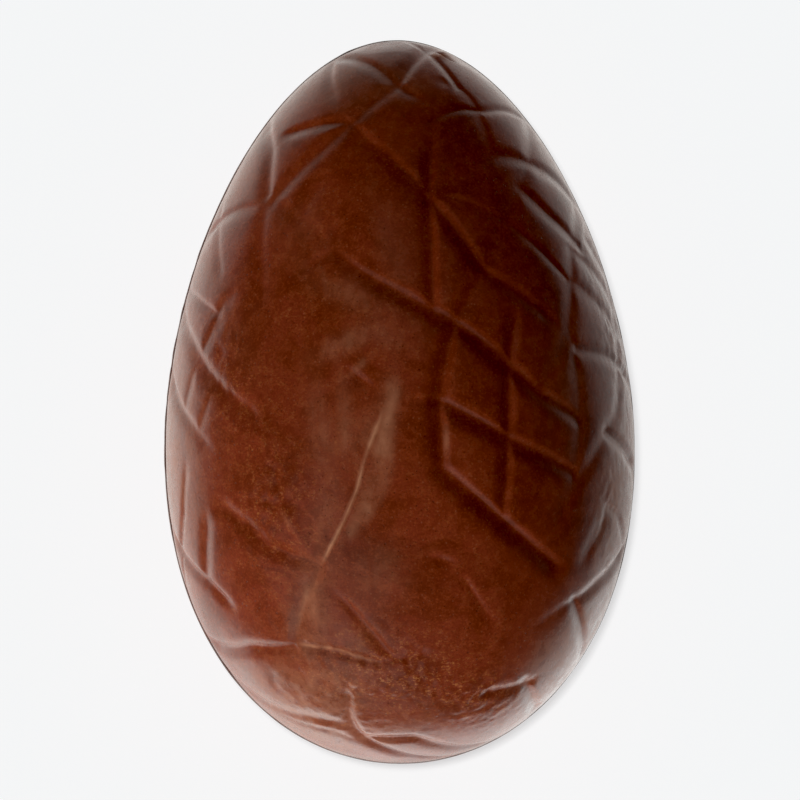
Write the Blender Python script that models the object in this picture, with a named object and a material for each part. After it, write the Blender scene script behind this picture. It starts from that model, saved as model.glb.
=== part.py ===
"""A moulded chocolate egg with a crackle of soft V creases, lying on its side.

The egg is turned about its long axis, which runs along Y, with the narrow end at +Y.
Two halves from one mould meet at a level seam.  The creases of a half are chains of
points on its plan; between two points a crease follows the shortest way over the egg.
All constants are in millimetres, and the finished mesh is in metres.
"""

import math

import bmesh
import bpy
import numpy as np
from mathutils import Vector
from mathutils.geometry import delaunay_2d_cdt

MM = 0.001

# Egg body
LENGTH = 100.0
HALF_LENGTH = LENGTH / 2
GIRTH_RADIUS = 32.12     # radius halfway along the egg
TAPER = 0.1465           # how much slimmer the egg gets towards the narrow end
HEART = Vector((0.0, -3.0, 0.0))    # the point that the creases' planes pass through
HALVINGS = 30            # halvings that find the surface along a ray from the heart
SLOPE_STEP = 0.01        # step along the axis for the slope of the body

# Seam between the halves
SEAM_DEPTH = 0.22
SEAM_HALF_WIDTH = 0.55
SEAM_PLAIN_BAND = 2.0    # the creases fade out over this distance before the seam
VALLEYS_START = 1.1      # height above the seam where the creases' edges start
SHOULDERS_START = 1.0
SEAM_STEPS = 96

# Flat spot that the egg lies on
FLAT_DEPTH = 0.5
WIDEST_AT = -7.0
FLAT_CLEARANCE = 10.5    # the creases fade out this near to the flat spot's middle
FLAT_FADE = 4.0

# Mesh spacing
CREASE_STEP = 2.6
FILL_STEP = 4.3
FILL_GAP = 1.5
RUN_OUT_BELOW = 10.0     # a crease that ends lower than this above the seam runs on to it
RUN_OUT_STEPS = 8
CROWDING = 0.9           # a top edge stops this near to a neighbouring crease
LAYOUT_MERGE = 0.02
MERGE = 0.12
SLIVER = 0.012

# Finish
COLOR = (0.105, 0.026, 0.010, 1.0)
ROUGHNESS = 0.38
SHARP_ANGLE = math.radians(14)

# Crease sizes: half width and depth
WIDE = (1.45, 0.60)
MEDIUM = (1.10, 0.45)
NARROW = (0.75, 0.32)
FAINT = (1.10, 0.16)

# Creases of one half: size, then (across, along) points
CREASES = (
    # round the narrow end
    (MEDIUM, ((-8.2, 47.7), (-2.8, 46.8), (0.0, 44.3), (5.0, 40.0))),
    (MEDIUM, ((5.0, 48.8), (0.0, 44.3), (-6.5, 39.0), (-12.4, 33.7), (-17.9, 28.0))),
    (MEDIUM, ((5.3, 48.4), (7.9, 45.6), (10.6, 41.4), (13.1, 34.4))),
    (NARROW, ((5.3, 46.5), (7.9, 43.3))),
    (MEDIUM, ((5.0, 40.0), (11.2, 39.9), (17.2, 39.3))),
    (NARROW, ((-8.5, 47.6), (-9.3, 43.3), (-7.8, 39.2))),
    (MEDIUM, ((-16.7, 36.2), (-11.8, 38.4), (-6.5, 39.0))),
    (NARROW, ((-9.9, 33.6), (-13.9, 26.3))),
    # upper left
    (WIDE, ((-17.9, 38.3), (-17.4, 35.0), (-18.4, 25.0), (-18.7, 20.0), (-16.5, 16.0))),
    (MEDIUM, ((-25.2, 25.4), (-21.8, 27.0), (-18.2, 27.6))),
    (MEDIUM, ((-15.8, 16.4), (-8.2, 21.2))),
    (NARROW, ((-9.0, 21.9), (-7.3, 27.0))),
    (MEDIUM, ((-25.3, 22.0), (-24.8, 15.5), (-25.5, 10.5), (-27.4, 6.8))),
    (FAINT, ((-20.4, 25.5), (-24.5, 18.5))),
    (MEDIUM, ((-28.6, 15.3), (-25.6, 11.4))),
    (MEDIUM, ((-21.0, 16.3), (-25.0, 12.8))),
    # centre, from the star of creases down
    (MEDIUM, ((-6.5, 39.0), (-3.7, 35.8), (4.4, 28.4))),
    (WIDE, ((5.0, 40.0), (4.4, 28.4), (4.7, 20.0), (4.9, 12.6))),
    (WIDE, ((-8.2, 21.2), (-5.4, 18.2), (-1.8, 16.2), (4.9, 12.6), (8.0, 11.0), (15.3, 5.2),
            (19.4, 1.3), (25.0, -2.5))),
    (MEDIUM, ((-8.5, 5.5), (-2.6, 1.0))),
    (NARROW, ((-2.6, 1.0), (-2.9, -2.0), (-5.3, -9.0), (-7.6, -14.0), (-9.2, -18.4), (-10.6, -20.8))),
    (MEDIUM, ((-10.6, -20.8), (-12.9, -24.3), (-13.7, -29.0), (-14.6, -34.2))),
    # upper right
    (MEDIUM, ((4.4, 28.4), (9.2, 31.7), (13.1, 34.2), (18.3, 32.9), (22.8, 29.8))),
    (MEDIUM, ((17.6, 39.4), (18.3, 32.9), (13.1, 20.4), (8.0, 11.0))),
    (MEDIUM, ((4.4, 28.4), (12.0, 18.0), (22.7, 9.8))),
    (MEDIUM, ((5.5, 28.6), (14.8, 25.2), (21.8, 18.8), (28.7, 11.9), (30.9, 8.0))),
    (MEDIUM, ((17.0, 29.6), (25.9, 21.3))),
    (MEDIUM, ((24.2, 29.0), (24.0, 20.0), (23.5, 10.0), (24.8, 2.5), (25.0, -2.5), (24.1, -11.0))),
    (NARROW, ((24.0, 20.8), (27.2, 17.6))),
    (MEDIUM, ((26.2, 22.0), (28.5, 17.5))),
    # quilted field at the right
    (WIDE, ((8.0, 11.0), (6.6, 6.0), (5.7, 0.3), (6.1, -9.0))),
    (WIDE, ((5.7, 0.3), (15.2, -5.0), (24.2, -9.8))),
    (MEDIUM, ((16.4, 13.5), (15.3, 5.2), (15.2, -5.0), (14.3, -15.6))),
    (MEDIUM, ((19.4, 1.3), (23.2, 7.8))),
    (WIDE, ((6.1, -9.0), (12.7, -14.8), (23.0, -23.8))),
    (MEDIUM, ((24.7, 7.3), (29.0, 6.2), (31.5, 3.4))),
    (MEDIUM, ((30.4, 4.8), (30.1, -1.5), (28.8, -5.5), (20.4, -19.5))),
    (MEDIUM, ((29.3, -4.6), (31.8, -7.6))),
    (MEDIUM, ((28.8, -15.3), (24.0, -23.5))),
    (NARROW, ((28.0, -13.8), (30.2, -15.8), (30.8, -18.5))),
    # lower left
    (WIDE, ((-29.8, 13.5), (-28.7, 8.6), (-26.4, 4.2), (-22.4, -0.5), (-18.6, -2.8))),
    (MEDIUM, ((-31.1, 1.3), (-28.6, -3.5), (-25.4, -7.4))),
    (NARROW, ((-27.7, -3.4), (-25.4, 2.6))),
    (MEDIUM, ((-28.0, 5.6), (-29.8, -0.9))),
    (MEDIUM, ((-28.6, -3.5), (-29.2, -8.0), (-30.2, -21.0))),
    (WIDE, ((-25.4, -7.4), (-26.1, -12.6), (-26.9, -24.4))),
    (MEDIUM, ((-30.2, -21.0), (-26.7, -24.6), (-22.2, -28.8))),
    (WIDE, ((-26.1, -12.6), (-18.0, -20.6), (-10.6, -20.8))),
    (MEDIUM, ((-18.0, -6.5), (-12.7, -19.7))),
    (FAINT, ((-24.0, -12.8), (-16.2, -13.6))),
    # round the blunt end
    (MEDIUM, ((-26.3, -33.0), (-21.0, -33.9), (-14.6, -34.2), (-7.0, -35.3), (-3.0, -36.3))),
    (MEDIUM, ((-10.0, -24.0), (-7.0, -28.6), (-0.8, -35.4), (6.0, -39.2))),
    (MEDIUM, ((-0.8, -35.4), (4.3, -32.5), (9.2, -24.8))),
    (NARROW, ((2.5, -21.0), (8.8, -22.8))),
    (NARROW, ((9.2, -24.8), (13.8, -31.3))),
    (FAINT, ((8.7, -39.0), (12.8, -32.0))),
    (MEDIUM, ((-6.5, -39.5), (1.0, -40.5), (13.0, -40.5), (18.0, -39.2))),
    (MEDIUM, ((-8.0, -39.5), (-7.3, -44.7), (-1.0, -49.2))),
    (MEDIUM, ((-17.0, -42.4), (-12.0, -43.7), (-7.3, -44.9))),
    (MEDIUM, ((-6.6, -45.4), (2.0, -45.6), (10.5, -47.4))),
    (MEDIUM, ((30.3, -21.8), (25.2, -27.8), (15.0, -33.5))),
    (MEDIUM, ((25.2, -27.8), (25.8, -34.0))),
)


def egg_radius(along):
    """Radius of the egg's round section at a place along its axis."""
    part = max(-1.0, min(1.0, along / HALF_LENGTH))
    return GIRTH_RADIUS * math.sqrt(1.0 - part * part) * (1.0 - TAPER * part)


def on_egg(direction):
    """The point where a ray from the heart of the egg meets its surface."""
    near = 0.0
    far = 2.0 * HALF_LENGTH
    ray = direction.normalized()
    for _ in range(HALVINGS):
        reach = (near + far) / 2
        point = HEART + ray * reach
        inside = abs(point.y) < HALF_LENGTH and math.hypot(point.x, point.z) < egg_radius(point.y)
        if inside:
            near = reach
        else:
            far = reach
    return HEART + ray * near


def outward(point):
    """The egg's outward direction at a point of its surface."""
    drop = egg_radius(point.y - SLOPE_STEP) - egg_radius(point.y + SLOPE_STEP)
    across = math.hypot(point.x, point.z)
    if across < SLOPE_STEP:
        return Vector((0.0, math.copysign(1.0, point.y), 0.0))
    return Vector((point.x / across, drop / (2 * SLOPE_STEP), point.z / across)).normalized()


def lift(across, along):
    """Raise a point of the plan onto the upper half of the egg."""
    height = math.sqrt(max(egg_radius(along) ** 2 - across ** 2, 0.0))
    return Vector((across, along, height))


def spread(point):
    """Unroll a point of the upper half onto a flat oval, keeping sizes much the same."""
    away = point - HEART
    ray = Vector((away.x / GIRTH_RADIUS, away.y / HALF_LENGTH, away.z / GIRTH_RADIUS)).normalized()
    angle = math.acos(max(-1.0, min(1.0, ray.z)))
    turn = math.atan2(ray.y, ray.x)
    return Vector((angle * GIRTH_RADIUS * math.cos(turn), angle * HALF_LENGTH * math.sin(turn)))


def fold(flat):
    """Put a point of the flat oval back on the upper half of the egg."""
    across = flat.x / GIRTH_RADIUS
    along = flat.y / HALF_LENGTH
    angle = min(math.hypot(across, along), math.pi / 2)
    turn = math.atan2(along, across)
    side = math.sin(angle)
    ray = Vector((side * math.cos(turn) * GIRTH_RADIUS, side * math.sin(turn) * HALF_LENGTH,
                  math.cos(angle) * GIRTH_RADIUS))
    return on_egg(ray)


def run_out(inner, end):
    """Carry a crease on from its low end until it reaches the seam."""
    stride = (end - inner).normalized() * CREASE_STEP
    extra = []
    point = end
    while point.z > SEAM_HALF_WIDTH and len(extra) < RUN_OUT_STEPS:
        step_end = on_egg(point + stride - HEART)
        if step_end.z >= point.z:
            break
        stride = (step_end - point).normalized() * CREASE_STEP
        point = step_end
        extra.append(point)
    return [p for p in extra if p.z > SEAM_HALF_WIDTH]


def crease_path(points):
    """Evenly spaced points over the egg from one end of a crease to the other."""
    corners = [lift(*point) for point in points]
    path = [corners[0]]
    for start, end in zip(corners, corners[1:]):
        count = max(1, round((end - start).length / CREASE_STEP))
        for number in range(1, count):
            path.append(on_egg(start.lerp(end, number / count) - HEART))
        path.append(end)
    if path[-1].z < RUN_OUT_BELOW:
        path += run_out(path[-2], path[-1])
    if path[0].z < RUN_OUT_BELOW:
        path = run_out(path[1], path[0])[::-1] + path
    return path


def distances(points, path):
    """Distance of each point from a crease's path."""
    nearest = np.full(len(points), np.inf)
    for start, end in zip(path, path[1:]):
        base = np.array(start)
        run = np.array(end) - base
        share = np.clip((points - base) @ run / (run @ run), 0.0, 1.0)
        gap = np.linalg.norm(points - base - share[:, None] * run, axis=1)
        nearest = np.minimum(nearest, gap)
    return nearest


def crease_depths(points, creases):
    """How deep the creases press the surface in at each point."""
    depth = np.zeros(len(points))
    for half_width, full_depth, path in creases:
        slope = 1.0 - distances(points, path) / half_width
        depth = np.maximum(depth, full_depth * np.clip(slope, 0.0, 1.0))
    return depth * np.clip(points[:, 2] / SEAM_PLAIN_BAND, 0.0, 1.0)


def shoulders(path, half_width):
    """The two lines along the top edges of a crease."""
    sides = ([], [])
    for number, point in enumerate(path):
        before = path[max(number - 1, 0)]
        after = path[min(number + 1, len(path) - 1)]
        sideways = outward(point).cross(after - before).normalized() * half_width
        sides[0].append(on_egg(point + sideways - HEART))
        sides[1].append(on_egg(point - sideways - HEART))
    return sides


def stretches(line, hidden):
    """The stretches of a line between its hidden points, unrolled onto the flat oval."""
    runs = [[]]
    for point, is_hidden in zip(line, hidden):
        if is_hidden:
            runs.append([])
        else:
            runs[-1].append(spread(point))
    return [run for run in runs if run]


def layout(creases):
    """Points and fixed edges on the flat oval: seam, creases and an even filling."""
    points = []
    edges = []

    def add_line(line, closed=False):
        first = len(points)
        points.extend(line)
        edges.extend((first + n, first + n + 1) for n in range(len(line) - 1))
        if closed:
            edges.append((first + len(line) - 1, first))

    turns = [2 * math.pi * n / SEAM_STEPS for n in range(SEAM_STEPS)]
    for shrink in (1.0, 1.0 - SEAM_HALF_WIDTH / (GIRTH_RADIUS * math.pi / 2)):
        reach = math.pi / 2 * shrink
        add_line([Vector((reach * GIRTH_RADIUS * math.cos(t), reach * HALF_LENGTH * math.sin(t)))
                  for t in turns], closed=True)

    for _, _, path in creases:
        for stretch in stretches(path, [point.z < VALLEYS_START for point in path]):
            add_line(stretch)
    for own in creases:
        for side in shoulders(own[2], own[0]):
            spots = np.array([tuple(point) for point in side])
            crowded = spots[:, 2] < SHOULDERS_START
            for other in creases:
                if other is not own:
                    crowded |= distances(spots, other[2]) < other[0] * CROWDING
            for stretch in stretches(side, crowded):
                add_line(stretch)

    fixed = np.array([(point.x, point.y) for point in points])
    rows = int(HALF_LENGTH * math.pi / 2 / FILL_STEP) + 1
    for row in range(-rows, rows + 1):
        for column in range(-rows, rows + 1):
            spot = Vector(((column + row % 2 / 2) * FILL_STEP, row * FILL_STEP * math.sqrt(3) / 2))
            angle = math.hypot(spot.x / GIRTH_RADIUS, spot.y / HALF_LENGTH)
            if angle > math.pi / 2 - FILL_GAP / GIRTH_RADIUS:
                continue
            gaps = np.hypot(fixed[:, 0] - spot.x, fixed[:, 1] - spot.y)
            if gaps.min() > FILL_GAP:
                points.append(spot)
    return points, edges


def half_shell(creases):
    """Points, outward directions, depths and triangles of the upper half."""
    flat_points, edges = layout(creases)
    spots, _, triangles, *_ = delaunay_2d_cdt(flat_points, edges, [], 0, LAYOUT_MERGE)
    skin = [fold(spot) for spot in spots]
    places = np.array([tuple(point) for point in skin])
    depths = crease_depths(places, creases)
    seam = np.clip(1.0 - places[:, 2] / SEAM_HALF_WIDTH, 0.0, 1.0) * SEAM_DEPTH
    return skin, np.maximum(depths, seam), triangles


def flat_fade(point):
    """1 away from the flat spot, falling to 0 around it."""
    from_middle = math.hypot(point.x, point.y - WIDEST_AT)
    return max(0.0, min(1.0, (from_middle - FLAT_CLEARANCE) / FLAT_FADE))


def build_egg():
    """Both halves welded at the seam, with the flat spot cut."""
    creases = [(half_width, depth, crease_path(points)) for (half_width, depth), points in CREASES]
    skin, depths, triangles = half_shell(creases)
    mesh = bmesh.new()
    for side in (1.0, -1.0):
        vertices = []
        for point, depth in zip(skin, depths):
            if side < 0 and point.z > SEAM_HALF_WIDTH:
                depth *= flat_fade(point)
            pressed = point - outward(point) * depth
            vertices.append(mesh.verts.new((side * pressed.x, pressed.y, side * pressed.z)))
        for corners in triangles:
            mesh.faces.new([vertices[corner] for corner in corners])
    bmesh.ops.remove_doubles(mesh, verts=mesh.verts, dist=MERGE)
    bmesh.ops.dissolve_degenerate(mesh, edges=mesh.edges, dist=SLIVER)
    bottom = -egg_radius(WIDEST_AT) + FLAT_DEPTH
    cut = bmesh.ops.bisect_plane(mesh, geom=mesh.verts[:] + mesh.edges[:] + mesh.faces[:], dist=SLIVER,
                                 plane_co=(0, 0, bottom), plane_no=(0, 0, -1), clear_outer=True)
    rim = [item for item in cut["geom_cut"] if isinstance(item, bmesh.types.BMEdge)]
    bmesh.ops.contextual_create(mesh, geom=rim)
    bmesh.ops.recalc_face_normals(mesh, faces=mesh.faces)
    bmesh.ops.translate(mesh, verts=mesh.verts, vec=(0, 0, -bottom))
    bmesh.ops.scale(mesh, verts=mesh.verts, vec=(MM, MM, MM))
    return mesh


def chocolate():
    material = bpy.data.materials.new("milk_chocolate")
    material.use_nodes = True
    surface = material.node_tree.nodes["Principled BSDF"]
    surface.inputs["Base Color"].default_value = COLOR
    surface.inputs["Roughness"].default_value = ROUGHNESS
    surface.inputs["Metallic"].default_value = 0.0
    return material


def main():
    for item in list(bpy.data.objects):
        bpy.data.objects.remove(item, do_unlink=True)
    collection = bpy.data.collections.new("chocolate_egg")
    bpy.context.scene.collection.children.link(collection)
    mesh = bpy.data.meshes.new("chocolate_egg")
    build = build_egg()
    build.to_mesh(mesh)
    build.free()
    egg = bpy.data.objects.new("chocolate_egg", mesh)
    mesh.materials.append(chocolate())
    mesh.shade_smooth()
    mesh.set_sharp_from_angle(angle=SHARP_ANGLE)
    collection.objects.link(egg)


main()
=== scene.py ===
"""Looks of the moulded chocolate egg: fine crackle, satin skin, a soft studio and a camera above.

The egg is made as its two moulded halves, each a closed body that meets the other at the level
seam.  Shape functions work in millimetres with the seam's plane at zero height, as the mould would
be drawn; the finished meshes are in metres, in the frame of the solid model that they stand for.
"""

import math

import bpy
import numpy as np
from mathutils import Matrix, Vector, noise
from mathutils.geometry import delaunay_2d_cdt


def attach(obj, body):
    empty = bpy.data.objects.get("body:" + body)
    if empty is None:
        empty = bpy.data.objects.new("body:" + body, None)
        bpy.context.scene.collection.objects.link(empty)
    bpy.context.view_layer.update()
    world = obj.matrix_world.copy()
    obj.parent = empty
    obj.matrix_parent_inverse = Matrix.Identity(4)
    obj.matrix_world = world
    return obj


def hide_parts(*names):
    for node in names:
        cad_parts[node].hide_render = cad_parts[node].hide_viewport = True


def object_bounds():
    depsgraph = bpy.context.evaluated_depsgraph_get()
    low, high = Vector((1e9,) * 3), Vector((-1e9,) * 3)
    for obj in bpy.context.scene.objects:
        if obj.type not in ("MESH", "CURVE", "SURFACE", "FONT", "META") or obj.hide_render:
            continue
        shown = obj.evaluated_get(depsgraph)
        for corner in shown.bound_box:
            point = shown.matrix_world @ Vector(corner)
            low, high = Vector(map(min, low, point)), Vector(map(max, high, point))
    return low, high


MM = 0.001

# Egg body, from the frame's box
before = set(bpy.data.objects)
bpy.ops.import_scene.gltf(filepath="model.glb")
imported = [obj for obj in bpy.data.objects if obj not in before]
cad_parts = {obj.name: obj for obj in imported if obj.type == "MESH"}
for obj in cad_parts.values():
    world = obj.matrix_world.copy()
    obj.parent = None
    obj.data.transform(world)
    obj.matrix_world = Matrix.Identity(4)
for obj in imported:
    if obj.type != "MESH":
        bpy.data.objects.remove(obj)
cad_low, cad_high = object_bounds()
HALF_LENGTH = (cad_high.y - cad_low.y) / 2 / MM
HALF_BREADTH = (cad_high.x - cad_low.x) / 2 / MM
TAPER = 0.1465           # how much slimmer the egg gets towards the narrow end
WIDEST_AT = -7.0
FLAT_DEPTH = 0.5
SEAM_HEIGHT = HALF_BREADTH - FLAT_DEPTH
HEART = np.array((0.0, -3.0, 0.0))  # the point that the creases' planes pass through
GIRTH_SAMPLES = 2001     # how finely the egg's widest place is looked for
HALVINGS = 32
SLOPE_STEP = 0.01
QUARTER = math.pi / 2

# Seam
SEAM_DEPTH = 0.20        # how far the lips of the halves are rounded in
SEAM_REACH = 0.22
SEAM_SHADE = 0.60        # painted shade darkens the seam within this distance
SEAM_PLAIN_BAND = 5.0    # the creases fade out over this distance before the seam
BACK_SHIFT = (-0.06, -0.02)   # the back half sits this far out of line
BACK_GROWTH = 0.17       # and stands this far proud all round

# Flat spot: the back half's crackle fades in over this distance, this far from its middle
FLAT_CLEARANCE = 10.5
FLAT_FADE = 4.0

# Mesh spacing
PATH_STEP = 1.0
ROW_STEP = 0.36
ROW_OFFSETS = (0.0, 0.22, -0.22, 0.5, -0.5, 0.85, -0.85, 1.3, -1.3)
SEAM_ROWS = (0.0, 0.12, 0.28, 0.5, 0.8)
SEAM_COUNT = 640
FILL_STEP = 0.50
ROW_GAP = 0.19           # no row point is nearer than this to another point
FILL_GAP = 0.33
LAYOUT_MERGE = 1e-5
RIM_BELOW = 0.02         # points under this height are on the seam
SHARP_ANGLE = math.radians(50)

# Ends and corners of creases
RUN_OUT_BELOW = 10.0     # an end under this height is carried on to the seam
RUN_OUT_STOP = 0.05
RUN_OUT_STEPS = 24
FREE_END_FADE = 4.0
JOINED_WITHIN = 1.2
CORNER_PASSES = 2

# Crease sizes: reach of the walls and depth
DEEP = (1.12, 0.80)
WIDE = (1.00, 0.62)
MEDIUM = (0.92, 0.42)
BROAD = (1.35, 0.58)
SOFT = (1.25, 0.36)
GENTLE = (1.30, 0.22)
NARROW = (0.65, 0.27)
FAINT = (0.95, 0.14)
WALL_BEND = 2.0          # 1 is a sharp V, 2 is a soft hollow
WALL_LEAN = np.array((0.32, 0.28, 0.0))   # walls on this side are steeper, by this share
WALL_DRAFT = np.array((0.60, 0.60, 0.0))  # and so are the lower walls on the egg's flanks
MOST_SKEW = 0.50
SKEW_INNER = 0.1         # nearer than this to a crease's line its walls are skewed less
BLEND_POWER = 4
PILLOW_REACH = 2.6
PILLOW_DEPTH = 0.16      # of a crease's own depth
PRESS_MARGIN = 3 * PILLOW_REACH

# Creases of one half: size, or the sizes at its two ends, then (across, along) points
CREASES = (
    # round the narrow end
    (MEDIUM, ((-8.4, 47.6), (-5.7, 47.6), (-3.0, 46.5), (0.2, 43.9), (4.2, 40.8))),
    (SOFT, MEDIUM, ((5.0, 48.8), (0.1, 43.8))),
    (SOFT, ((0.1, 43.8), (-6.3, 38.8), (-10.4, 35.2), (-17.4, 28.0))),
    (NARROW, ((5.3, 47.6), (8.6, 43.4))),
    (FAINT, ((8.6, 43.4), (10.6, 41.4), (13.1, 34.4))),
    (FAINT, ((5.7, 45.2), (7.5, 42.9))),
    (NARROW, ((4.6, 38.8), (6.5, 39.8), (8.9, 40.5), (12.0, 40.0), (17.2, 39.3))),
    (NARROW, FAINT, ((-8.6, 47.6), (-9.2, 44.0), (-8.2, 40.5))),
    (MEDIUM, ((-16.7, 36.6), (-13.0, 38.0), (-6.3, 38.9))),
    (SOFT, ((-9.0, 32.4), (-11.6, 29.4), (-13.6, 26.0))),
    (GENTLE, ((-17.6, 28.2), (-13.2, 25.6), (-9.0, 21.4))),
    # upper left
    (SOFT, ((-17.9, 38.3), (-17.5, 35.0), (-18.1, 29.0))),
    (GENTLE, ((-18.1, 29.0), (-18.9, 23.0), (-18.7, 12.0))),
    (MEDIUM, FAINT, ((-25.4, 24.7), (-23.0, 26.4), (-18.6, 27.3))),
    (MEDIUM, ((-15.8, 16.7), (-9.0, 21.1))),
    (SOFT, ((-9.0, 21.1), (-8.2, 25.6))),
    (FAINT, ((-24.9, 22.5), (-24.3, 16.0))),
    (GENTLE, ((-21.5, 15.6), (-24.4, 14.0), (-25.3, 11.0), (-27.4, 6.8))),
    (NARROW, ((-28.6, 15.3), (-25.2, 12.4))),
    # centre, from the star of creases down
    (SOFT, ((-6.5, 38.7), (-3.7, 35.8), (4.4, 28.4))),
    (FAINT, WIDE, ((5.0, 40.0), (4.4, 28.4))),
    (WIDE, ((4.4, 28.4), (4.7, 20.0), (4.9, 12.6))),
    (MEDIUM, DEEP, ((-8.5, 20.8), (-5.4, 18.2), (-1.8, 16.2), (4.9, 12.6))),
    (DEEP, WIDE, ((4.9, 12.6), (8.0, 11.0), (15.3, 5.2), (19.4, 1.3), (25.0, -2.5))),
    (MEDIUM, ((-8.2, 5.4), (-5.4, 3.4), (-2.8, 1.0))),
    (SOFT, ((-11.4, -22.6), (-12.9, -25.5), (-13.9, -29.0), (-14.8, -33.5))),
    # upper right
    (SOFT, ((4.4, 28.4), (9.2, 31.7), (13.1, 34.2), (18.3, 32.9), (22.8, 29.8))),
    (GENTLE, ((17.6, 39.4), (18.3, 32.9), (13.1, 20.4))),
    (GENTLE, MEDIUM, ((13.1, 20.4), (8.0, 11.0))),
    (WIDE, MEDIUM, ((4.4, 28.4), (12.0, 18.0), (22.7, 9.8))),
    (FAINT, NARROW, ((5.5, 28.6), (14.8, 25.0), (21.8, 18.6), (23.4, 16.9))),
    (GENTLE, ((23.4, 16.9), (28.7, 11.9), (30.9, 8.0))),
    (SOFT, ((17.4, 29.2), (21.0, 25.7), (25.0, 21.6))),
    (GENTLE, ((24.2, 29.0), (24.0, 20.0), (23.5, 10.0), (24.8, 2.5), (25.0, -2.5), (24.1, -11.0))),
    (GENTLE, ((24.0, 20.8), (27.2, 17.6))),
    (GENTLE, ((26.2, 22.0), (28.5, 17.5))),
    # quilted field at the right
    (WIDE, DEEP, ((8.0, 11.0), (6.6, 6.0), (5.7, 0.3))),
    (DEEP, ((5.7, 0.3), (6.1, -9.0))),
    (DEEP, WIDE, ((5.7, 0.3), (15.2, -5.0), (24.2, -9.8))),
    (MEDIUM, WIDE, ((16.4, 13.5), (15.3, 5.2), (15.2, -5.0))),
    (WIDE, MEDIUM, ((15.2, -5.0), (14.3, -15.6))),
    (SOFT, GENTLE, ((19.4, 1.3), (23.2, 7.8))),
    (DEEP, ((6.1, -9.0), (12.7, -14.8), (23.0, -23.8))),
    (MEDIUM, ((24.7, 7.3), (29.0, 6.2), (31.5, 3.4))),
    (GENTLE, ((30.4, 4.8), (30.1, -1.5), (28.6, -4.5), (24.1, -11.6), (20.4, -19.0))),
    (WIDE, ((28.9, -4.3), (31.8, -7.5))),
    (GENTLE, ((28.8, -15.3), (24.0, -23.5))),
    (NARROW, ((27.6, -13.8), (30.2, -15.8), (30.8, -18.5))),
    # lower left
    (SOFT, BROAD, ((-29.8, 13.5), (-28.7, 8.6), (-26.4, 4.2), (-23.5, 1.0), (-18.3, -2.6))),
    (WIDE, FAINT, ((-31.1, 1.3), (-28.6, -3.0), (-25.2, -7.2))),
    (FAINT, ((-27.7, -3.4), (-25.4, 2.6))),
    (FAINT, ((-28.0, 5.6), (-29.8, -0.9))),
    (FAINT, NARROW, ((-29.3, -6.5), (-29.7, -10.0), (-30.1, -15.0))),
    (NARROW, ((-30.1, -15.0), (-30.4, -20.8))),
    (SOFT, ((-26.5, -14.0), (-27.0, -24.4))),
    (WIDE, MEDIUM, ((-30.2, -21.0), (-26.7, -24.6), (-22.2, -28.8))),
    (SOFT, BROAD, ((-26.0, -12.6), (-21.5, -16.6))),
    (BROAD, SOFT, ((-21.5, -16.6), (-18.3, -19.6), (-13.5, -21.5), (-11.4, -22.4))),
    (FAINT, ((-18.0, -7.0), (-16.6, -12.5))),
    (FAINT, ((-24.0, -12.8), (-16.2, -13.6))),
    # round the blunt end
    (WIDE, ((-26.3, -33.0), (-21.0, -33.6), (-15.0, -33.8))),
    (MEDIUM, NARROW, ((-14.5, -33.2), (-9.0, -34.3), (-3.8, -35.8), (0.5, -35.2), (3.0, -34.4))),
    (NARROW, MEDIUM, ((-10.1, -25.0), (-7.0, -28.0), (-4.6, -31.0), (-1.4, -34.8))),
    (FAINT, ((-1.0, -35.4), (4.2, -32.7), (9.2, -24.8))),
    (MEDIUM, ((2.8, -20.9), (8.8, -22.6))),
    (NARROW, FAINT, ((9.0, -24.6), (12.6, -30.2), (14.0, -31.6))),
    (GENTLE, ((-6.4, -40.2), (4.5, -40.9))),
    (MEDIUM, ((9.5, -40.2), (14.5, -39.8), (18.0, -38.8))),
    (MEDIUM, ((17.3, -38.7), (18.6, -42.3))),
    (WIDE, ((-7.5, -37.9), (-7.4, -43.9), (-5.8, -46.2), (-1.0, -48.6))),
    (SOFT, ((-17.5, -42.2), (-12.0, -43.6), (-7.3, -44.6))),
    (FAINT, ((-14.5, -44.0), (-10.0, -45.2), (-6.0, -46.6))),
    (MEDIUM, ((-5.6, -46.3), (2.0, -46.3), (10.5, -47.6))),
    (WIDE, FAINT, ((30.3, -21.8), (27.6, -24.7), (22.2, -28.5), (17.4, -31.6))),
    (MEDIUM, ((24.1, -27.6), (25.3, -34.0))),
    # fine marks between the creases
    (FAINT, ((-13.3, 26.0), (-14.1, 22.3))),
    (FAINT, ((-17.5, 16.0), (-22.0, 12.0))),
    (FAINT, ((25.8, 21.4), (25.4, 19.6))),
    (FAINT, ((-18.7, -27.0), (-15.6, -33.6))),
    (FAINT, ((-17.9, -36.0), (-17.2, -40.5))),
    (FAINT, ((-14.2, -35.4), (-14.0, -39.0))),
    (FAINT, ((-10.8, -36.0), (-10.6, -41.0))),
    (FAINT, ((0.5, 0.6), (5.5, 0.0))),
    (FAINT, ((-0.5, -8.2), (5.2, -8.0))),
    (FAINT, ((-25.6, 8.8), (-23.6, 6.0))),
)

# Folds, where the skin steps up to the right of a line: rise, width of the step, points
LONG_FOLD = ((-2.1, -0.4), (-2.8, -2.4), (-4.7, -7.2), (-5.9, -11.9), (-8.1, -16.9),
             (-9.8, -20.0), (-11.2, -22.7))
FOLDS = (
    (0.26, 0.50, LONG_FOLD),
)
FOLD_FADE = 5.5          # the raised side sinks back over this distance

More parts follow.
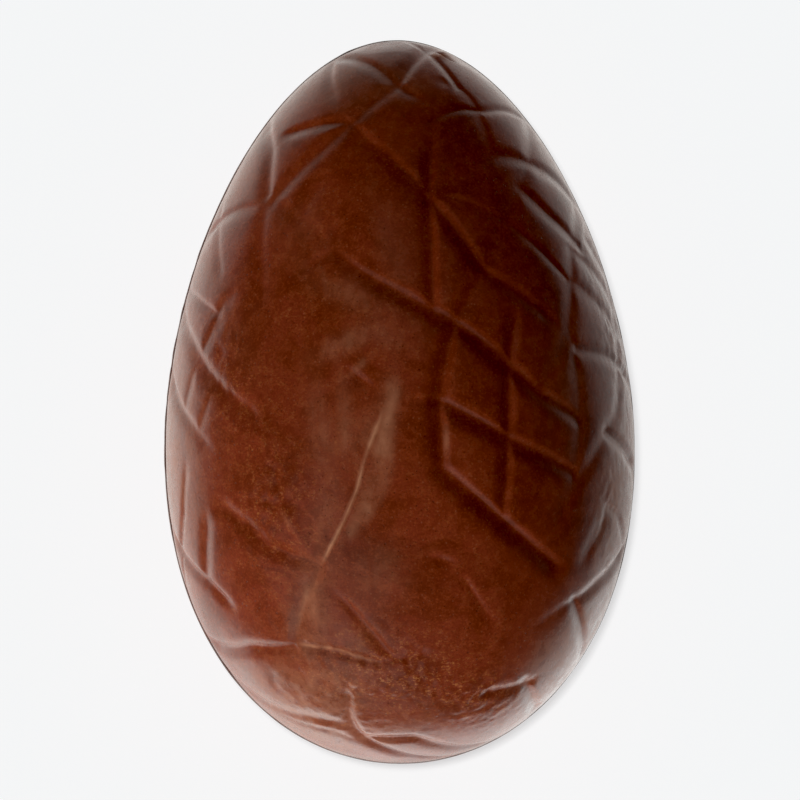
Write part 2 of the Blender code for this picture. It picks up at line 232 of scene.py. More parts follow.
# Soft swells of the skin: (across, along), reach across and along, turn, height
SWELLS = (
    ((-6.2, 7.4), (1.5, 2.4), -70, 0.05),
    ((-5.0, 5.0), (0.8, 2.0), -50, 0.03),
    ((-0.4, -5.0), (2.6, 7.0), -4, 0.18),
    ((-14.9, -16.4), (0.7, 3.0), 30, 0.34),
    ((-5.8, -12.0), (1.8, 5.0), -22, 0.05),
    ((30.6, -6.4), (0.7, 2.2), 40, 0.12),
    # the little bubble and its open middle
    ((6.3, 48.0), (1.00, 0.42), -22, 0.36),
    ((6.3, 48.1), (0.62, 0.17), -24, -1.15),
)
# Crinkled places: (across, along), reach across and along, turn, strength
CRINKLES = (
    ((3.0, -38.0), (7.0, 4.0), 0, 1.0),
    ((11.0, -41.0), (5.0, 3.0), 10, 0.9),
    ((-7.0, -38.0), (8.0, 6.5), 0, 0.95),
    ((-23.0, 4.0), (4.0, 9.0), 10, 0.5),
    ((-17.0, -14.0), (6.0, 10.0), 0, 0.65),
    ((-8.0, 12.0), (8.0, 6.0), -20, 0.35),
    ((30.0, 8.0), (2.0, 14.0), 15, 0.6),
    ((28.5, -14.0), (2.0, 8.0), -10, 0.5),
)
CRINKLE_SIZE = (0.9, 1.5, 0.9)
CRINKLE_HEIGHT = 0.18

# Milky bloom and painted sheen on the skin: (across, along), reach across and along, turn, strength
BLOOM_AND_SHEEN_PATCHES = (
    # smears in the middle
    ((-2.0, -3.0), (1.4, 5.0), -6, 0.25),
    ((-0.8, 1.8), (1.0, 2.6), 0, 0.30),
    ((-7.4, -3.0), (1.0, 5.5), 4, 0.28),
    ((-10.6, -4.0), (1.6, 6.5), 8, 0.22),
    ((-4.6, -6.0), (1.6, 4.5), 0, 0.20),
    ((-7.5, 8.0), (1.4, 3.4), -65, 0.30),
    ((-5.6, 4.9), (0.5, 1.8), -50, 0.35),
    ((-2.0, 9.0), (3.0, 1.6), -25, 0.14),
    ((-9.8, -14.5), (2.0, 5.0), -18, 0.14),
    ((-12.5, -28.0), (2.8, 6.5), -10, 0.30),
    ((-3.0, -23.0), (4.0, 4.0), 0, 0.16),
    # upper part
    ((-7.0, 15.0), (5.0, 1.8), -25, 0.18),
    ((-13.0, 24.0), (4.0, 7.0), 25, 0.06),
    ((-1.5, 22.0), (1.6, 7.0), 15, 0.08),
    ((-5.0, 45.0), (10.0, 4.0), 0, 0.20),
    ((-22.0, 33.0), (3.0, 6.0), 25, 0.12),
    # round the little bubble: painted glint on its edges
    ((5.2, 48.1), (0.25, 0.35), 0, 0.9),
    ((6.5, 48.35), (0.80, 0.16), -26, 1.0),
    ((6.4, 47.62), (0.90, 0.15), -18, 1.0),
    # left, lower and right rims and the right flank: painted sheen and painted reflection of the
    # pale floor
    ((-30.5, -4.0), (3.5, 18.0), 0, 0.22),
    ((-27.0, 20.0), (2.0, 12.0), 22, 0.08),
    ((-16.0, -41.0), (4.0, 8.0), 55, 0.15),
    ((-3.0, -46.0), (14.0, 3.5), 0, 0.20),
    ((-10.0, -39.5), (6.0, 4.5), 0, 0.28),
    ((-6.5, -33.0), (3.5, 3.5), 0, 0.12),
    ((23.0, -35.0), (4.0, 12.0), -36, 0.35),
    ((29.5, -14.0), (2.2, 14.0), -8, 0.30),
    ((24.0, 0.0), (3.5, 10.0), 0, 0.16),
)
# A thin milky sheet of bloom and painted sheen to the right of the long fold: strength, softness of
# its edges, its edges
BLOOM_AND_SHEEN_SHEETS = (
    (0.34, 1.7, ((-3.0, 1.5), *LONG_FOLD[1:-1]),
     ((0.1, 2.0), (-0.2, -5.0), (-0.3, -11.0), (-2.8, -15.5), (-6.4, -19.5), (-8.6, -22.0))),
)
# Painted highlights, thin milky lines along raised edges: strength, half width, (across, along)
# points
PAINTED_HIGHLIGHT_LINES = (
    (0.95, 0.24, LONG_FOLD),
    (0.30, 0.45, ((-12.2, -24.0), (-13.2, -26.5), (-14.1, -30.0), (-14.6, -33.0))),
    (0.30, 0.30, ((-6.9, 5.9), (-4.2, 3.6))),
    (0.42, 0.50, ((-16.7, -14.2), (-15.2, -16.6), (-13.8, -19.0))),
    (0.65, 0.30, ((-15.5, -33.0), (-9.0, -33.9), (-2.6, -36.0))),
    (0.45, 0.35, ((6.4, -2.2), (6.5, -8.2))),
)

RIPPLES = ((9.0, 0.05), (3.2, 0.018))    # size and height

# Camera: straight above, so far away that its lens flattens the egg
CAMERA_DISTANCE = 2500.0
VIEW_WIDTH = 110.8       # what the picture spans at the seam
VIEW_CENTRE = (0.06, 0.28)
ROLL = math.radians(0.45)
SENSOR = 36.0
SEES_AS_FAR_AS = 50.0    # in metres
BLACK_POINT = 0.0074     # as deep as the photograph's blacks

# Colours of the chocolate
COCOA = (0.200, 0.0352, 0.0182, 1.0)
COCOA_DARK = (0.140, 0.0250, 0.0110, 1.0)
COCOA_RED = (0.275, 0.0560, 0.0215, 1.0)
# dark colour of the painted shade in the pinholes and along the seam
PAINTED_SHADE_DARK = (0.040, 0.0120, 0.0080, 1.0)
CRUMB = (0.500, 0.180, 0.060, 1.0)
# pale colour of the specks and the bloom, and of the painted sheen and highlights
MILKY = (0.475, 0.206, 0.118, 1.0)

# Its textures: feature size by axis, detail, roughness and distortion, or the spacing of spots
BLOTCHES = ((6.5, 6.5, 6.5), 4.0, 0.6, 0.6)
MOTTLE = ((1.6, 1.6, 1.6), 3.0, 0.6, 0.0)
GRAIN = ((0.32, 0.32, 0.32), 2.0, 0.6, 0.0)
CRUMBS = ((0.45, 0.30, 0.45), 2.0, 0.7, 0.5)
STREAKS = ((3.0, 8.0, 3.5), 3.0, 0.6, 0.8)
SPECK_SPACING = 0.95
PINHOLE_SPACING = 0.90

# How much of a texture shows: while it goes from the first value to the second, its share goes
# from the third to the fourth
BLOTCH_LIGHT = (0.38, 0.60, 0.0, 1.0)
MOTTLE_RED = (0.35, 0.70, 0.0, 0.40)
GRAIN_RED = (0.50, 0.72, 0.0, 0.80)
GRAIN_DARK = (0.28, 0.50, 0.80, 0.0)
CRUMB_PATCHES = (0.45, 0.62, 0.0, 0.35)
CRUMB_SHARE = (0.52, 0.68, 0.0, 0.60)
CRUMB_MOTTLE = (0.42, 0.60, 0.35, 1.2)
# painted shade in the crinkles' hollow places
CRINKLE_HOLLOW_SHADE = (0.36, 0.50, 0.45, 0.0)
STREAK_MILK = (0.30, 0.70, 0.45, 1.35)
MOTTLE_MILK = (0.3, 0.7, 0.8, 1.15)
SPECK_SHARE = (0.06, 0.18, 0.22, 0.0)
PINHOLES = (0.05, 0.15, 1.0, 0.0)
SEAM_SHARE = (0.0, 1.0, 0.0, 0.85)
BLOOM_AND_SHEEN_ROUGHNESS = (0.0, 0.8, 0.25, 0.42)
MOTTLE_ROUGHNESS = (0.3, 0.7, -0.03, 0.04)
# how dark the painted shade in the pinholes is
PINHOLE_DARKNESS = 0.60
BLOOM_EVERYWHERE = 0.012
GRAIN_HEIGHT = 0.022
MOTTLE_HEIGHT = 0.030
PINHOLE_DEPTH = 0.030
GLOSS = 0.20

# Floor and its colours
FLOOR_SIZE = 6.0
FLOOR_WHITE = (0.4, 0.4, 0.4, 1.0)
FLOOR_ROUGHNESS = 0.9
FLOOR_TINT = (0.964, 0.988, 1.0, 1.0)
FLOOR_GLOW = 0.650       # keeps the pale floor nearly free of shadow
WARM = (1.0, 0.93, 0.84, 1.0)
PALE = (1.0, 0.985, 0.95, 1.0)
COOL = (0.92, 0.99, 1.0, 1.0)
MINT = (0.85, 1.0, 0.96, 1.0)
AMBER = (1.0, 0.86, 0.72, 1.0)
# Bright pools on the floor in the egg's reflections: colour, centre, inner and outer radius,
# strength, strength outside
POOLS = (
    (PALE, (0.0, 0.0), 50.0, 200.0, 1.00, 0.08),
    (COOL, (48.0, -63.0), 14.0, 45.0, 1.36, 0.0),
    (COOL, (-2.0, -110.0), 21.0, 53.0, 2.15, 0.0),
    (MINT, (-54.0, -84.0), 24.0, 46.0, 1.35, 0.0),
    (WARM, (-80.0, -14.0), 20.0, 56.0, 0.74, 0.0),
    (AMBER, (-46.0, 50.0), 10.0, 50.0, 0.46, 0.0),
    (AMBER, (-85.0, 130.0), 45.0, 110.0, 0.50, 0.0),
    (WARM, (34.0, 60.0), 12.0, 52.0, 0.38, 0.0),
)

# Lamps: name, azimuth from +X towards +Y, elevation, distance and size in metres, power, colour,
# and whether the egg mirrors it
WHITE_LIGHT = (1.0, 1.0, 1.0)
WARM_LIGHT = (1.0, 0.98, 0.89)
EGG_LAMPS = (
    ("key_softbox", 222, 36, 1.0, 1.0, 1.8, WHITE_LIGHT, True),
    ("key_fill", 222, 36, 1.0, 0.6, 7.3, WARM_LIGHT, False),
    ("top_fill", 75, 50, 1.0, 0.8, 1.3, WHITE_LIGHT, False),
    ("low_softbox", 255, 14, 1.0, 0.7, 1.2, WHITE_LIGHT, True),
    ("low_fill", 265, 18, 1.0, 0.7, 1.9, WHITE_LIGHT, False),
)
FLOOR_LAMPS = (
    ("floor_softbox", 130, 88.1, 4.0, 0.15, 101, WHITE_LIGHT, True),
)
WORLD_LIGHT = 0.045      # what the surroundings give the egg
WORLD_SEEN = 0.9         # and how bright the camera sees them


def egg_shape(part):
    """Relative radius of the egg at a part of its half length."""
    part = np.clip(part, -1.0, 1.0)
    return np.sqrt(1.0 - part ** 2) * (1.0 - TAPER * part)


GIRTH_RADIUS = HALF_BREADTH / egg_shape(np.linspace(-1.0, 1.0, GIRTH_SAMPLES)).max()


def egg_radius(along):
    return GIRTH_RADIUS * egg_shape(along / HALF_LENGTH)


def on_egg(rays):
    """Where rays from the heart of the egg meet its surface."""
    rays = rays / np.linalg.norm(rays, axis=1)[:, None]
    near = np.zeros(len(rays))
    far = np.full(len(rays), 2.0 * HALF_LENGTH)
    for _ in range(HALVINGS):
        reach = (near + far) / 2
        points = HEART + rays * reach[:, None]
        inside = np.hypot(points[:, 0], points[:, 2]) < egg_radius(points[:, 1])
        near = np.where(inside, reach, near)
        far = np.where(inside, far, reach)
    return HEART + rays * near[:, None]


def outward(points):
    """The smooth egg's outward directions at points of its surface."""
    drop = egg_radius(points[:, 1] - SLOPE_STEP) - egg_radius(points[:, 1] + SLOPE_STEP)
    across = np.maximum(np.hypot(points[:, 0], points[:, 2]), SLOPE_STEP)
    rise = drop / (2 * SLOPE_STEP)
    normals = np.stack((points[:, 0] / across, rise, points[:, 2] / across), axis=1)
    return normals / np.linalg.norm(normals, axis=1)[:, None]


def lift(plan):
    """Raise points of the plan onto the upper half of the egg."""
    plan = np.array(plan, float)
    height = np.sqrt(np.maximum(egg_radius(plan[:, 1]) ** 2 - plan[:, 0] ** 2, 0.0))
    return np.column_stack((plan, height))


def spread(points):
    """Unroll points of the upper half onto a flat oval, keeping sizes much the same."""
    rays = (points - HEART) / (GIRTH_RADIUS, HALF_LENGTH, GIRTH_RADIUS)
    rays /= np.linalg.norm(rays, axis=1)[:, None]
    angle = np.arccos(np.clip(rays[:, 2], 0.0, 1.0))
    turn = np.arctan2(rays[:, 1], rays[:, 0])
    return np.column_stack((angle * np.cos(turn) * GIRTH_RADIUS,
                            angle * np.sin(turn) * HALF_LENGTH))


def fold(flat):
    """Put points of the flat oval back on the upper half of the egg."""
    across = flat[:, 0] / GIRTH_RADIUS
    along = flat[:, 1] / HALF_LENGTH
    angle = np.minimum(np.hypot(across, along), QUARTER)
    turn = np.arctan2(along, across)
    rays = np.column_stack((np.sin(angle) * np.cos(turn) * GIRTH_RADIUS,
                            np.sin(angle) * np.sin(turn) * HALF_LENGTH,
                            np.cos(angle) * GIRTH_RADIUS))
    return on_egg(rays)


def run_out(inner, end):
    """Carry a crease on from its low end until it reaches the seam."""
    stride = (end - inner) / np.linalg.norm(end - inner) * PATH_STEP
    extra = []
    while len(extra) < RUN_OUT_STEPS:
        ahead = on_egg((end + stride - HEART)[None])[0]
        if ahead[2] >= end[2] or ahead[2] < RUN_OUT_STOP:
            break
        stride = (ahead - end) / np.linalg.norm(ahead - end) * PATH_STEP
        end = ahead
        extra.append(end)
    return extra


def crease_path(plan):
    """Evenly spaced points over the egg from one end of a crease to the other."""
    corners = lift(plan)
    path = [corners[0]]
    for start, end in zip(corners, corners[1:]):
        count = max(1, round(np.linalg.norm(end - start) / PATH_STEP))
        shares = np.arange(1, count + 1)[:, None] / count
        path += list(on_egg(start + (end - start) * shares - HEART))
    if path[-1][2] < RUN_OUT_BELOW:
        path += run_out(path[-2], path[-1])
    if path[0][2] < RUN_OUT_BELOW:
        path = run_out(path[1], path[0])[::-1] + path
    path = np.array(path)
    for _ in range(CORNER_PASSES):
        path[1:-1] = (path[:-2] + 2 * path[1:-1] + path[2:]) / 4
    return on_egg(path - HEART)


def nearest_on(points, path):
    """Distance from a path, the gap to it, side of it and length along it, for each point."""
    base = path[:-1]
    run = path[1:] - base
    lengths = np.linalg.norm(run, axis=1)
    offset = points[:, None, :] - base[None]
    share = np.clip(np.einsum("psi,si->ps", offset, run) / lengths ** 2, 0.0, 1.0)
    gap = offset - share[:, :, None] * run
    distance = np.linalg.norm(gap, axis=2)
    best = distance.argmin(axis=1)
    pick = np.arange(len(points))
    starts = np.concatenate(((0.0,), np.cumsum(lengths)))[:-1]
    length_along = starts[best] + share[pick, best] * lengths[best]
    sideways = np.cross(outward(points), run[best])
    side = np.sign(np.einsum("pi,pi->p", sideways, gap[pick, best]))
    return distance[pick, best], gap[pick, best], side, length_along


def close_to_any(point, paths):
    """True if a point lies on or close to one of the paths."""
    return any(nearest_on(point[None], path)[0][0] < JOINED_WITHIN for path in paths)


class Crease:
    """One crease: its path, its sizes at the two ends and which ends run out to nothing."""

    def __init__(self, *sizes, plan):
        self.start, self.end = np.array(sizes[0]), np.array(sizes[-1])
        self.path = crease_path(plan)
        self.length = np.linalg.norm(np.diff(self.path, axis=0), axis=1).sum()
        self.fade_start = False
        self.fade_end = False

    def find_free_ends(self, others):
        paths = [other.path for other in others if other is not self]
        self.fade_start = self.path[0][2] > RUN_OUT_BELOW and not close_to_any(self.path[0], paths)
        self.fade_end = self.path[-1][2] > RUN_OUT_BELOW and not close_to_any(self.path[-1], paths)

    def press(self, points):
        """How deep this crease presses the skin in at each point: the V and the soft pillow."""
        sharp = np.zeros(len(points))
        soft = np.zeros(len(points))
        low, high = self.path.min(axis=0) - PRESS_MARGIN, self.path.max(axis=0) + PRESS_MARGIN
        near = ((points > low) & (points < high)).all(axis=1)
        if not near.any():
            return sharp, soft
        distance, gap, _, along = nearest_on(points[near], self.path)
        share = smooth(along / self.length)[:, None]
        reach, strength = (self.start + share * (self.end - self.start)).T
        fade = min(FREE_END_FADE, self.length / 2)
        if self.fade_start:
            strength *= smooth(along / fade)
        if self.fade_end:
            strength *= smooth((self.length - along) / fade)
        lean = WALL_LEAN + WALL_DRAFT * outward(points[near])
        skew = np.einsum("pi,pi->p", gap, lean) / np.maximum(distance, SKEW_INNER)
        reach = reach * (1 - np.clip(skew, -MOST_SKEW, MOST_SKEW))
        sharp[near] = strength * np.exp(-(distance / reach) ** WALL_BEND)
        soft[near] = strength * PILLOW_DEPTH * np.exp(-(distance / PILLOW_REACH) ** 2)
        return sharp, soft


def smooth(share):
    share = np.clip(share, 0.0, 1.0)
    return share * share * (3 - 2 * share)


def press_all(points, creases):
    """Depth of the whole crackle at each point, its creases blended where they meet."""
    total = np.zeros(len(points))
    pillow = np.zeros(len(points))
    for crease in creases:
        sharp, soft = crease.press(points)
        total += sharp ** BLEND_POWER
        pillow = np.maximum(pillow, soft)
    return (total ** (1 / BLEND_POWER) + pillow) * smooth(points[:, 2] / SEAM_PLAIN_BAND)


def patch(points, centre, reach, turn):
    """A soft oval patch: 1 at its centre, falling to 0 beyond its reach."""
    turn = math.radians(turn)
    aside, ahead = points[:, 0] - centre[0], points[:, 1] - centre[1]
    over = (aside * math.cos(turn) + ahead * math.sin(turn)) / reach[0]
    down = (ahead * math.cos(turn) - aside * math.sin(turn)) / reach[1]
    return np.exp(-over ** 2 - down ** 2)


def patches(points, table):
    """Sum of the patches of a table, each as high as its last value."""
    return sum(top * patch(points, centre, reach, turn) for centre, reach, turn, top in table)


def along_path(points, plan):
    """Signed distance from a path, and how far from its ends: 0 there, 1 further in."""
    path = crease_path(plan)
    distance, _, side, along = nearest_on(points, path)
    length = np.linalg.norm(np.diff(path, axis=0), axis=1).sum()
    return distance * side, smooth(along / FREE_END_FADE) * smooth((length - along) / FREE_END_FADE)


def bloom_and_sheen_all(points):
    """How milky the skin is at each point: its bloom, painted sheen and painted highlights."""
    bloom_and_sheen = patches(points, BLOOM_AND_SHEEN_PATCHES)
    for strength, softness, left_plan, right_plan in BLOOM_AND_SHEEN_SHEETS:
        left, ends = along_path(points, left_plan)
        right, _ = along_path(points, right_plan)
        bloom_and_sheen += strength * ends * smooth(left / softness) * smooth(-right / softness)
    for strength, half_width, plan in PAINTED_HIGHLIGHT_LINES:
        distance, ends = along_path(points, plan)
        bloom_and_sheen += strength * ends * np.exp(-(distance / half_width) ** 2)
    return bloom_and_sheen


def rough(points):
    """Smooth random values, about one swing for each unit of length."""
    return np.array([noise.noise(Vector(point)) for point in points.tolist()])


def swell_all(points):
    """Height of the soft swells, ripples and crinkles of the skin, and how crinkled it is."""
    height = patches(points, SWELLS)
    for rise, width, plan in FOLDS:
        distance, ends = along_path(points, plan)
        fading = np.exp(-np.maximum(distance, 0.0) / FOLD_FADE)
        height += rise * ends * smooth(distance / width) * fading
    for size, top in RIPPLES:
        height += top * rough(points / size)
    crinkled = patches(points, CRINKLES)
    return height + CRINKLE_HEIGHT * crinkled * rough(points / CRINKLE_SIZE), crinkled


def finer(path):
    """A path with points every ROW_STEP."""
    lengths = np.concatenate(((0.0,), np.cumsum(np.linalg.norm(np.diff(path, axis=0), axis=1))))
    places = np.linspace(0.0, lengths[-1], max(2, round(lengths[-1] / ROW_STEP)))
    points = np.column_stack([np.interp(places, lengths, path[:, axis]) for axis in range(3)])
    return on_egg(points - HEART)


def beside(path, offset):
    """A line on the egg that runs beside a path."""
    sideways = np.cross(outward(path), np.gradient(path, axis=0))
    sideways /= np.linalg.norm(sideways, axis=1)[:, None]
    return on_egg(path + sideways * offset - HEART)


def thin_out(flat, gaps):
    """Keep each point unless one kept before it is nearer than the point's own gap."""
    size = max(gaps)
    cells = {}
    kept = []
    for number, ((x, y), gap) in enumerate(zip(flat.tolist(), gaps)):
        column, row = int(x // size), int(y // size)
        limit = gap * gap
        crowded = False
        for cell in ((column + i, row + j) for i in (0, -1, 1) for j in (0, -1, 1)):
            for other_x, other_y in cells.get(cell, ()):
                if (other_x - x) ** 2 + (other_y - y) ** 2 < limit:
                    crowded = True
                    break
            if crowded:
                break
        if not crowded:
            cells.setdefault((column, row), []).append((x, y))
            kept.append(number)
    return flat[kept]


def layout(creases):
    """Points on the flat oval: rings at the seam, rows along the creases and an even filling."""
    turns = np.linspace(0.0, 2 * math.pi, SEAM_COUNT, endpoint=False)
    oval = np.column_stack((np.cos(turns) * GIRTH_RADIUS, np.sin(turns) * HALF_LENGTH))
    rings = [oval * (QUARTER - row / GIRTH_RADIUS) for row in SEAM_ROWS]
    fine_paths = [finer(crease.path) for crease in creases]
    fine_paths += [finer(crease_path(plan)) for *_, plan in FOLDS + PAINTED_HIGHLIGHT_LINES]
    rows = [spread(beside(path, offset)) for offset in ROW_OFFSETS for path in fine_paths]
    steps = int(HALF_LENGTH * QUARTER / FILL_STEP) + 1
    counts = np.arange(-steps, steps + 1)
    row, column = np.meshgrid(counts, counts, indexing="ij")
    fill = np.column_stack(((column + row % 2 / 2).ravel() * FILL_STEP,
                            row.ravel() * FILL_STEP * math.sqrt(3) / 2))
    rings, rows = np.concatenate(rings), np.concatenate(rows)
    inner = QUARTER - SEAM_ROWS[-1] / GIRTH_RADIUS
    rows = rows[np.hypot(*(rows / (GIRTH_RADIUS, HALF_LENGTH)).T) < inner]
    fill = fill[np.hypot(*(fill / (GIRTH_RADIUS, HALF_LENGTH)).T) < inner]
    gaps = [0.0] * len(rings) + [ROW_GAP] * len(rows) + [FILL_GAP] * len(fill)
    return thin_out(np.concatenate((rings, rows, fill)), gaps)


def half_surface(creases):
    """Points of the smooth upper half and the triangles between them."""
    flat = [Vector(point) for point in layout(creases).tolist()]
    corners, _, triangles, *_ = delaunay_2d_cdt(flat, [], [], 0, LAYOUT_MERGE)
    corners = np.array([tuple(corner) for corner in corners])
    return fold(corners), triangles


def flat_fade(points):
    """1 away from the flat spot, falling to 0 around it."""
    from_middle = np.hypot(points[:, 0], points[:, 1] - WIDEST_AT)
    return np.clip((from_middle - FLAT_CLEARANCE) / FLAT_FADE, 0.0, 1.0)


def close_rim(points, triangles, rim):
    """Add a middle point and a fan of triangles that closes a half at the seam."""
    turn = np.arctan2(points[rim, 1], points[rim, 0])
    ring = rim[np.argsort(turn)].tolist()
    middle = len(points)
    points = np.vstack((points, points[rim].mean(axis=0)))
    fan = [(middle, second, first) for first, second in zip(ring, ring[1:] + ring[:1])]
    return points, triangles + fan


def make_piece(name, points, faces, marks, material):
    """One mesh of the egg, with its marks for the material; points are in millimetres."""
    mesh = bpy.data.meshes.new(name)
    mesh.from_pydata((points * MM).tolist(), [], faces)
    for mark, values in marks.items():
        attribute = mesh.attributes.new(mark, "FLOAT", "POINT")
        attribute.data.foreach_set("value", values.astype(np.float32))
    mesh.shade_smooth()
    mesh.set_sharp_from_angle(angle=SHARP_ANGLE)
    mesh.materials.append(material)
    piece = bpy.data.objects.new(name, mesh)
    bpy.context.scene.collection.objects.link(piece)
    return piece


def build_egg(material):
    """The two halves, as pieces in the frame."""
    creases = [Crease(*sizes, plan=plan) for *sizes, plan in CREASES]
    for crease in creases:
        crease.find_free_ends(creases)
    skin, triangles = half_surface(creases)
    normals = outward(skin)
    rim = np.flatnonzero(skin[:, 2] < RIM_BELOW)
    crackle = press_all(skin, creases)
    lip = SEAM_DEPTH * np.exp(-skin[:, 2] / SEAM_REACH)
    # painted shade along the seam, darkest at it
    seam = np.exp(-(skin[:, 2] / SEAM_SHADE) ** 2)
    swell, crinkle = swell_all(skin)
    marks = {"bloom_and_sheen": bloom_and_sheen_all(skin), "seam": seam, "crinkle": crinkle}
    marks = {mark: np.append(values, values[rim].mean()) for mark, values in marks.items()}
    pieces = []
    for name, side in (("egg_front_half", 1.0), ("egg_back_half", -1.0)):
        depth = lip + crackle - swell
        if side < 0:
            depth = lip - BACK_GROWTH + (crackle - swell) * flat_fade(skin)
        shape = skin - normals * depth[:, None]
        shape[rim, 2] = 0.0
        closed, faces = close_rim(shape, list(triangles), rim)
        closed = closed * (side, 1.0, side)
        if side < 0:
            closed[:, :2] += BACK_SHIFT
        closed[:, 2] = np.maximum(closed[:, 2] + SEAM_HEIGHT, 0.0)
        pieces.append(make_piece(name, closed, faces, marks, material))
    return pieces


class Shader:
    """A material's nodes, added one call at a time; its textures work in millimetres of the egg."""

    def __init__(self, name):
        self.material = bpy.data.materials.new(name)
        self.material.use_nodes = True
        self.nodes = self.material.node_tree.nodes
        self.link = self.material.node_tree.links.new
        self.surface = self.nodes["Principled BSDF"]
        self.place = self.nodes.new("ShaderNodeTexCoord").outputs["Object"]

    def feed(self, node, sockets):
        for socket, value in sockets.items():
            if isinstance(value, bpy.types.NodeSocket):
                self.link(value, node.inputs[socket])
            else:
                node.inputs[socket].default_value = value

    def stretched(self, size):
        """Texture place in units of a feature size in mm, which may differ by axis."""
        node = self.nodes.new("ShaderNodeVectorMath")
        node.operation = "MULTIPLY"
        self.feed(node, {0: self.place, 1: [1 / (length * MM) for length in size]})
        return node.outputs["Vector"]

    def noise(self, size, detail, roughness, distortion):
        node = self.nodes.new("ShaderNodeTexNoise")
        self.feed(node, {"Vector": self.stretched(size), "Scale": 1.0, "Detail": detail,
                         "Roughness": roughness, "Distortion": distortion})
        return node.outputs["Fac"]

    def spots(self, size):
        """Distance to the nearest of many scattered points, in units of their spacing."""
        node = self.nodes.new("ShaderNodeTexVoronoi")
        self.feed(node, {"Vector": self.stretched((size, size, size)), "Scale": 1.0})
        return node.outputs["Distance"]

    def ramp(self, value, low, high, start, end):
        """Soft change from start to end while the value goes from low to high."""
        node = self.nodes.new("ShaderNodeMapRange")
        node.interpolation_type = "SMOOTHSTEP"
        self.feed(node, {"Value": value, "From Min": low, "From Max": high,
                         "To Min": start, "To Max": end})
        return node.outputs["Result"]

    def math(self, operation, first, second):
        node = self.nodes.new("ShaderNodeMath")
        node.operation = operation
        self.feed(node, {0: first, 1: second})
        return node.outputs["Value"]

    def attribute(self, name):
        node = self.nodes.new("ShaderNodeAttribute")
        node.attribute_name = name
        return node.outputs["Fac"]

    def mix(self, share, first, second):
        node = self.nodes.new("ShaderNodeMix")
        node.data_type = "RGBA"
        node.clamp_factor = True
        # the colour sockets share their names with others, so they go by number
        self.feed(node, {"Factor": share, 6: first, 7: second})
        return node.outputs[2]

    def bump(self, height):
        node = self.nodes.new("ShaderNodeBump")
        self.feed(node, {"Height": height, "Strength": 1.0, "Distance": MM})
        return node.outputs["Normal"]

    def pool(self, color, centre, inner, outer, strength, rest):
        """A round glow on the floor that fades from its inner to its outer radius, in mm."""
        distance = self.nodes.new("ShaderNodeVectorMath")
        distance.operation = "DISTANCE"
        self.feed(distance, {0: self.place, 1: (centre[0] * MM, centre[1] * MM, 0.0)})
        glow = self.nodes.new("ShaderNodeEmission")
        fading = self.ramp(distance.outputs["Value"], inner * MM, outer * MM, strength, rest)
        self.feed(glow, {"Color": color, "Strength": fading})
        return glow.outputs["Emission"]

    def together(self, first, second):
        node = self.nodes.new("ShaderNodeAddShader")
        self.feed(node, {0: first, 1: second})
        return node.outputs["Shader"]


def cocoa_color(shader, mottle, grain):
    """Blotchy brown with a fine grain, and orange crumbs and painted shade in each hollow where it
    is crinkled.
    """
    blotches = shader.noise(*BLOTCHES)
    crinkle = shader.attribute("crinkle")
    cocoa = shader.mix(shader.ramp(blotches, *BLOTCH_LIGHT), COCOA_DARK, COCOA)
    cocoa = shader.mix(shader.ramp(mottle, *MOTTLE_RED), cocoa, COCOA_RED)
    cocoa = shader.mix(shader.ramp(grain, *GRAIN_RED), cocoa, COCOA_RED)
    cocoa = shader.mix(shader.ramp(grain, *GRAIN_DARK), cocoa, COCOA_DARK)
    patches = shader.math("ADD", shader.ramp(blotches, *CRUMB_PATCHES), crinkle)
    crumbs = shader.math("MULTIPLY", shader.ramp(shader.noise(*CRUMBS), *CRUMB_SHARE), patches)
    crumbs = shader.math("MULTIPLY", crumbs, shader.ramp(mottle, *CRUMB_MOTTLE))
    cocoa = shader.mix(crumbs, cocoa, CRUMB)
    # painted shade in the crinkles' hollow places
    painted_hollow_shade = shader.math("MULTIPLY", shader.ramp(mottle, *CRINKLE_HOLLOW_SHADE), crinkle)
    return shader.mix(painted_hollow_shade, cocoa, COCOA_DARK)


def bloom_and_sheen_share(shader, mottle):
    """How milky the skin is: its bloom and painted sheen, broken up into streaks and mottles."""
    streaks = shader.ramp(shader.noise(*STREAKS), *STREAK_MILK)
    cloud = shader.math("MULTIPLY", streaks, shader.ramp(mottle, *MOTTLE_MILK))
    bloom_and_sheen = shader.math("ADD", shader.attribute("bloom_and_sheen"), BLOOM_EVERYWHERE)
    return shader.math("MULTIPLY", bloom_and_sheen, cloud)


